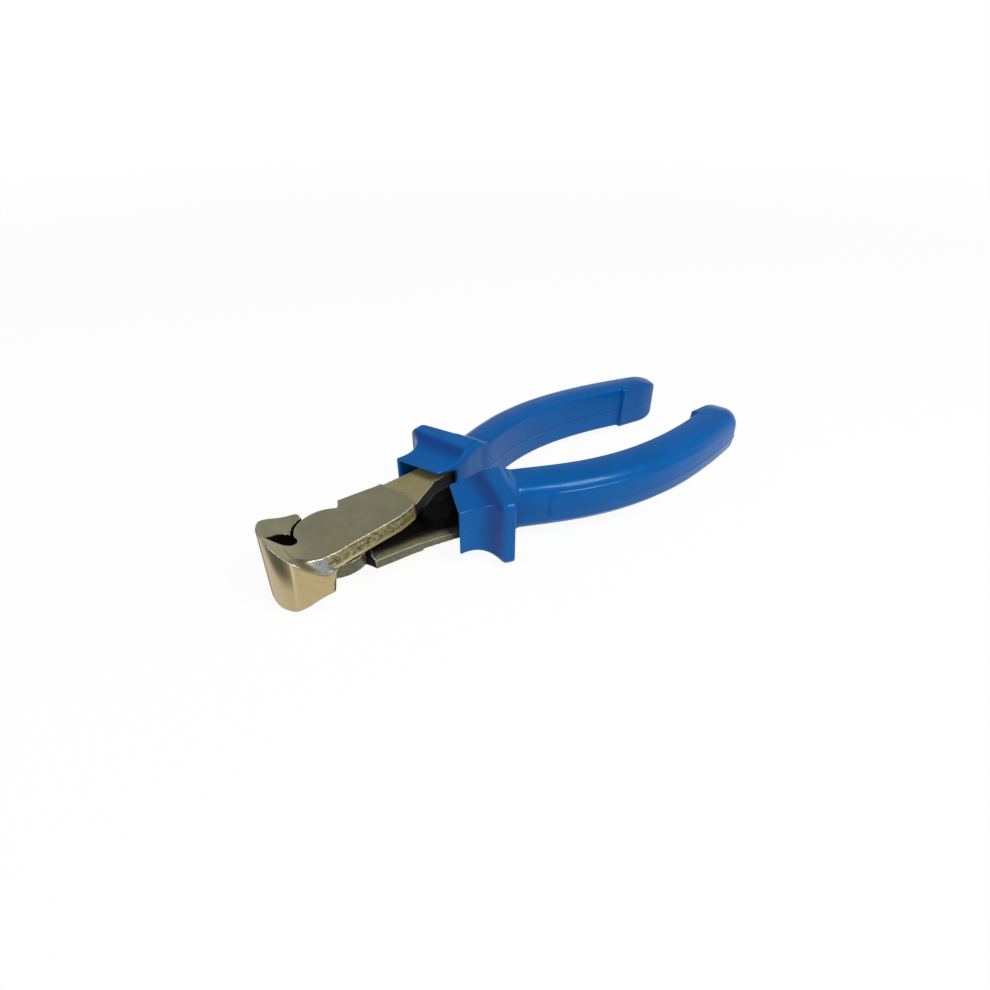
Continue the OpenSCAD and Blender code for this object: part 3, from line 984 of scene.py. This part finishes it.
def outer_stations(grip, length):
    """Along, inner, outer, half height and the two corner radii, from the mouth's floor outward."""
    collar_out, collar_h, at_guard = grip["collar_out"], grip["collar_h"], grip["at_guard"]
    wall = [COLLAR_IN - SIDE_WALL, collar_out - SIDE_WALL, collar_h - TOP_WALL, MOUTH_ROUND, MOUTH_ROUND]
    mouth = [[MOUTH_DEPTH, *wall], [0.0, *wall]]
    share = np.linspace(0.0, 1.0, 30)[:, None]
    collar = np.array([0.0, COLLAR_IN, collar_out, collar_h, COLLAR_ROUND, COLLAR_ROUND])
    guard = np.array([at_guard, GUARD_IN, grip["guard_out"], grip["guard_h"], GUARD_ROUND, GUARD_ROUND])
    cove = collar + (guard - collar) * np.concatenate([share, np.repeat(share ** 3, 5, axis=1)], 1)
    body = np.array([BODY_W, BODY_W, BODY_H, BODY_R_IN, BODY_R_OUT])
    heel_run = grip["at_heel"] + HEEL_DROP + HEEL_FADE * share
    heel = guard[1:] + (body - guard[1:]) * smooth_step(0.0, 1.0, share)
    heel[:, 1] = BODY_W
    rear = np.array([BODY_W, BODY_W, BODY_H, BODY_R_IN, REAR_R_OUT])
    at_lip = length - grip["lip"]
    rows = np.vstack([
        mouth, cove, [[grip["at_heel"], *guard[1:]]], np.concatenate([heel_run, heel], 1),
        [[at_lip, *rear], [at_lip + LIP_RAMP, *(rear + [grip["rise"], 0.0, 0.0, 0.0, 0.0])]],
        end_stations(grip, length),
    ])
    run = np.concatenate([[0.0], np.cumsum(np.linalg.norm(np.diff(rows[:, :4], axis=0), axis=1))])
    even = np.arange(0.0, run[-1], STATION_STEP)
    table = np.stack([np.interp(even, run, column) for column in rows.T], 1)
    crisp, soft = soften(table, CRISP_WIDTH), soften(table, SOFT_WIDTH)
    near_guard = smooth_step(0.4, 0.8, table[:, 0] / at_guard)
    near_guard *= smooth_step(3.0, 2.0, table[:, 0] / at_guard) * (even > MOUTH_DEPTH + 4.0)
    near_rim = np.exp(-((even - MOUTH_DEPTH - SIDE_WALL / 2) / 1.4) ** 2)
    return crisp + (soft - crisp) * np.maximum(near_guard, 0.7 * near_rim)[:, None]


print("a far grip has", len(outer_stations(FAR_GRIP, grip_lengths[0])), "stations outside")

# %% [markdown]
# ## The skin of a grip
# Each station becomes a ring, a rounded rectangle with more points where the mould's parting
# ridge runs. The flats are crowned a little, because moulded vinyl is never quite flat, and the
# palm side has a raised panel. Rings are laid square to the handle's line, apart from the mouth,
# which keeps a tilt of its own.

# %% Skin of a grip
PARTING, RIDGE_PROUD = -0.167, 0.16
PANEL_FROM, PANEL_TO, PANEL_FADE = 30.0, 102.0, 30.0
PANEL_HALF_H, PANEL_ROUND, PANEL_PROUD = 5.2, 3.0, 0.42
CROWN, CROWN_FROM, CROWN_FULL = 0.25, 20.0, 28.0
NOTCH_DEPTH, NOTCH_FADE = 8.0, 16.0
TILT_FADE = 0.22


def ring_template():
    """Across, up and normal angle of each point around a ring, before it is given a size."""
    beside_line = PARTING + np.array([-0.09, -0.03, 0.0, 0.03, 0.09])
    climb = np.concatenate([np.linspace(-1.0, PARTING - 0.15, 12), beside_line,
                            np.linspace(PARTING + 0.15, 1.0, 16)])
    flat = np.linspace(1.0, -1.0, 18)
    turn = np.linspace(0.0, 90.0, 17)[1:-1]
    ones_turn, ones_climb, ones_flat = np.ones_like(turn), np.ones_like(climb), np.ones_like(flat)
    across = [ones_climb, ones_turn, flat, -ones_turn, -ones_climb, -ones_turn, -flat, ones_turn]
    rise = [climb, ones_turn, ones_flat, ones_turn, climb[::-1], -ones_turn, -ones_flat, -ones_turn]
    angle = [0 * ones_climb, turn, 90 * ones_flat, 90 + turn, 180 * ones_climb, 180 + turn,
             270 * ones_flat, 270 + turn]
    return np.concatenate(across), np.concatenate(rise), np.radians(np.concatenate(angle))


def loft(rows, grip):
    """Rings along the handle's line: for each station, a rounded rectangle of its reaches, laid
    out square to the line, with crowned flats, a parting ridge and a raised palm panel. The
    mouth's inner wall is moved back along the line, which leaves a notch beside the tang."""
    shares, runs = measure(grip["handle"])
    across, rise, angle = ring_template()
    run, inner, outer, half_h, inner_r, outer_r = (column[:, None] for column in rows.T)
    radius = inner_r + (outer_r - inner_r) * (across + 1.0) / 2.0
    side = (outer - outer_r) * (1.0 + across) / 2.0 - (inner - inner_r) * (1.0 - across) / 2.0
    to_end = runs[-1] - run
    body = smooth_step(CROWN_FROM, CROWN_FULL, run) * smooth_step(2.0, 9.0, to_end)
    on_side = np.abs(np.cos(angle)) > 0.99
    crown = CROWN * body * np.where(on_side, 1.0 - rise ** 2, 1.0 - across ** 2)
    ridge = RIDGE_PROUD * on_side * (np.abs(rise - PARTING) < 0.02) * (run > 1.0)
    height = (half_h - radius) * rise + radius * np.sin(angle)
    gap_x = np.abs(run - (PANEL_FROM + PANEL_TO) / 2) - (PANEL_TO - PANEL_FROM) / 2 + PANEL_ROUND
    gap_z = np.abs(height) - PANEL_HALF_H + PANEL_ROUND
    panel_gap = np.hypot(np.maximum(gap_x, 0), np.maximum(gap_z, 0)) - PANEL_ROUND
    panel = PANEL_PROUD * smooth_step(0.2, -0.2, panel_gap) * (np.cos(angle) > 0.3)
    panel = panel * smooth_step(PANEL_TO, PANEL_TO - PANEL_FADE, run)
    out = crown + ridge + panel
    notch = smooth_step(0.97, 0.78, height / half_h) * (np.cos(angle) < -0.5)
    notch = np.where(rise < -0.99, (1.0 - across) / 2.0, notch)
    run = run + NOTCH_DEPTH * notch * np.maximum(1.0 - run / NOTCH_FADE, 0.0)
    side = side + (radius + out) * np.cos(angle)
    height = height + out * np.sin(angle)
    share = np.interp(run, runs, shares)
    centre = handle_point(grip["handle"], share)
    ahead = handle_point(grip["handle"], share + 0.001) - centre
    path_angle = np.arctan2(ahead[..., 1], ahead[..., 0])
    tilt = MOUTH_TILT + (path_angle - MOUTH_TILT) * smooth_step(0.0, TILT_FADE, share)
    past_end = np.maximum(run - runs[-1], 0.0)
    x = centre[..., 0] - side * np.sin(tilt) + past_end * np.cos(tilt)
    y = centre[..., 1] + side * np.cos(tilt) + past_end * np.sin(tilt)
    return np.stack([x, y, height], -1)


print("a ring has", len(ring_template()[0]), "points")

# %% [markdown]
# ## Two grips from one sleeve
# The skin starts at the blind end of the bar's socket, so that the sleeve is one closed solid
# with its hole inside. The near grip is the far one's mirror image in kind, with sizes of its
# own, and a mirrored mesh needs its faces turned round to keep them facing outward.

# %% Grips
SOCKET_GAP = 0.08


def socket_stations(grip):
    """Stations of the bar's socket, from its blind end to the floor of the mouth."""
    shares, runs = measure(grip["handle"])
    run = np.linspace(np.interp(BAR_TO, shares, runs) + BAR_HALF_W + 0.3, MOUTH_DEPTH, 34)
    size = BAR_HALF_W + SOCKET_GAP
    flat = np.ones_like(run)
    return np.stack([run, size * flat, size * flat, (TANG_T + SOCKET_GAP) * flat, flat, flat], 1)


def in_cove(rows, grip):
    """Painted shade: 1 deep in the cove before the guard, 0 at the collar, the guard and the flat
    inner side.
    """
    share = rows[:, :1] / grip["at_guard"]
    facing = np.cos(ring_template()[2])
    deep = smooth_step(0.42, 0.86, share) * smooth_step(1.02, 0.90, share)
    return deep * smooth_step(-0.7, -0.1, facing)


def add_grip(name, node, body, grip):
    """One grip, mirrored to side -1 for the near handle, with its faces turned to match."""
    outside = outer_stations(grip, measure(grip["handle"])[1][-1])
    socket = socket_stations(grip)
    rings = np.concatenate([loft(socket, grip), loft(outside, grip)])
    points = close_tube(rings) * (1.0, grip["side"], 1.0)
    faces = tube_faces(*rings.shape[:2])
    if grip["side"] < 0:
        faces = [face[::-1] for face in faces]
    piece = add_piece(name, points, faces, body, node, vinyl)
    # Painted shade in the cove, at each point outside the socket
    cove = np.zeros(len(points))
    cove[socket.shape[0] * rings.shape[1]:-2] = in_cove(outside, grip).ravel()
    add_attribute(piece, "cove", cove)


add_grip("far_sleeve", "far_grip", "upper", FAR_GRIP)
add_grip("near_sleeve", "near_grip", "lower", NEAR_GRIP)

# %% [markdown]
# ## The floor
# The tool lies on a plain white sweep. A lit white floor would turn grey towards the back, so
# this one shines evenly for what the camera and the reflections see, and takes only a faint
# shadow. Far from the tool it fades to full white, so that its edge doesn't show.

# %% Floor
FLOOR_SIZE = 4.0
SEEN_WHITE = 0.94
FADE_FROM, FADE_TO = 0.25, 1.20


def add_seen(material):
    """A socket that is 1 for rays from the camera, from gloss and through glass."""
    rays = add_node(material, "ShaderNodeLightPath")
    total = None
    for name in ("Is Camera Ray", "Is Glossy Ray", "Is Transmission Ray"):
        most = add_node(material, "ShaderNodeMath", operation="MAXIMUM")
        join(material, rays.outputs[name], most.inputs[0])
        if total is not None:
            join(material, total, most.inputs[1])
        total = most.outputs[0]
    return total


def show_mix(owner, share, first, second, output):
    """A mix of two shaders by a share, sent to the output of a material or a world."""
    mix = add_node(owner, "ShaderNodeMixShader")
    for target, source in zip(mix.inputs, (share, first, second)):
        join(owner, source, target)
    join(owner, mix.outputs[0], owner.node_tree.nodes[output].inputs["Surface"])


def add_fade(material):
    """A socket that climbs with the distance from the tool, from the share SEEN_WHITE to 1."""
    place = add_node(material, "ShaderNodeTexCoord")
    away = add_node(material, "ShaderNodeVectorMath", operation="LENGTH")
    fade = add_node(material, "ShaderNodeMapRange", interpolation_type="SMOOTHSTEP")
    fade.inputs["From Min"].default_value = FADE_FROM
    fade.inputs["From Max"].default_value = FADE_TO
    fade.inputs["To Min"].default_value = SEEN_WHITE
    join(material, place.outputs["Object"], away.inputs[0])
    join(material, away.outputs["Value"], fade.inputs["Value"])
    return fade.outputs["Result"]


def make_floor():
    """White floor: mostly even white for what is seen or mirrored, and lit paint for the rest."""
    material, shader = new_material("white_sweep")
    material.node_tree.nodes.remove(shader)
    paint = add_node(material, "ShaderNodeBsdfDiffuse", Color=(0.9, 0.9, 0.9, 1.0))
    white = add_node(material, "ShaderNodeEmission", Strength=1.0)
    share = add_node(material, "ShaderNodeMath", operation="MULTIPLY")
    join(material, add_seen(material), share.inputs[0])
    join(material, add_fade(material), share.inputs[1])
    show_mix(material, share.outputs[0], paint.outputs[0], white.outputs[0], "Material Output")
    return material


def add_floor():
    """A flat square under the tool."""
    half_size = FLOOR_SIZE / 2
    corners = [(-half_size, -half_size, 0), (half_size, -half_size, 0),
               (half_size, half_size, 0), (-half_size, half_size, 0)]
    mesh = bpy.data.meshes.new("floor")
    mesh.from_pydata(corners, [], [(0, 1, 2, 3)])
    mesh.materials.append(make_floor())
    floor = bpy.data.objects.new("floor", mesh)
    bpy.context.scene.collection.objects.link(floor)


add_floor()
print("floor", FLOOR_SIZE, "m wide")

# %% [markdown]
# ## The light
# One soft lamp stands over the camera's shoulder and a weaker one on the left. The surroundings
# are white to the camera and to reflections, and the sky darkens overhead, which gives the flat
# tops a deeper tone than the sides.

# %% Lamps and sky
WORLD_LIGHT = 0.34
SKY_OVERHEAD = 0.24


def add_light(name, place, size, power):
    """A square soft light that faces the tool's middle."""
    data = bpy.data.lights.new(name, "AREA")
    data.size = size
    data.energy = power
    light = bpy.data.objects.new(name, data)
    light.location = place
    direction = -np.array(place)
    flat_length = math.hypot(direction[0], direction[1])
    light.rotation_euler = (
        math.atan2(flat_length, -direction[2]), 0.0, math.atan2(-direction[0], direction[1]))
    bpy.context.scene.collection.objects.link(light)


def add_world():
    """Even light for the object, and for what is seen white to well above the horizon, then grey."""
    world = bpy.data.worlds.new("studio")
    world.use_nodes = True
    light = world.node_tree.nodes["Background"]
    light.inputs["Color"].default_value = (WORLD_LIGHT,) * 3 + (1.0,)
    sky = add_node(world, "ShaderNodeBackground", Strength=1.0)
    view = add_node(world, "ShaderNodeTexCoord")
    height = add_node(world, "ShaderNodeSeparateXYZ")
    join(world, view.outputs["Generated"], height.inputs[0])
    tone = add_ramp(world, height.outputs["Z"], ((0.14, 1.0), (0.38, SKY_OVERHEAD)))
    join(world, tone, sky.inputs["Color"])
    show_mix(world, add_seen(world), light.outputs[0], sky.outputs[0], "World Output")
    bpy.context.scene.world = world


add_light("key", place=(0.15, -0.42, 0.58), size=0.26, power=3.7)
add_light("rim", place=(-0.55, 0.05, 0.40), size=0.30, power=1.2)
add_world()
bpy.context.scene.view_settings.view_transform = "Standard"
print("lamps", len(bpy.data.lights), "and a sky of", SKY_OVERHEAD, "overhead")
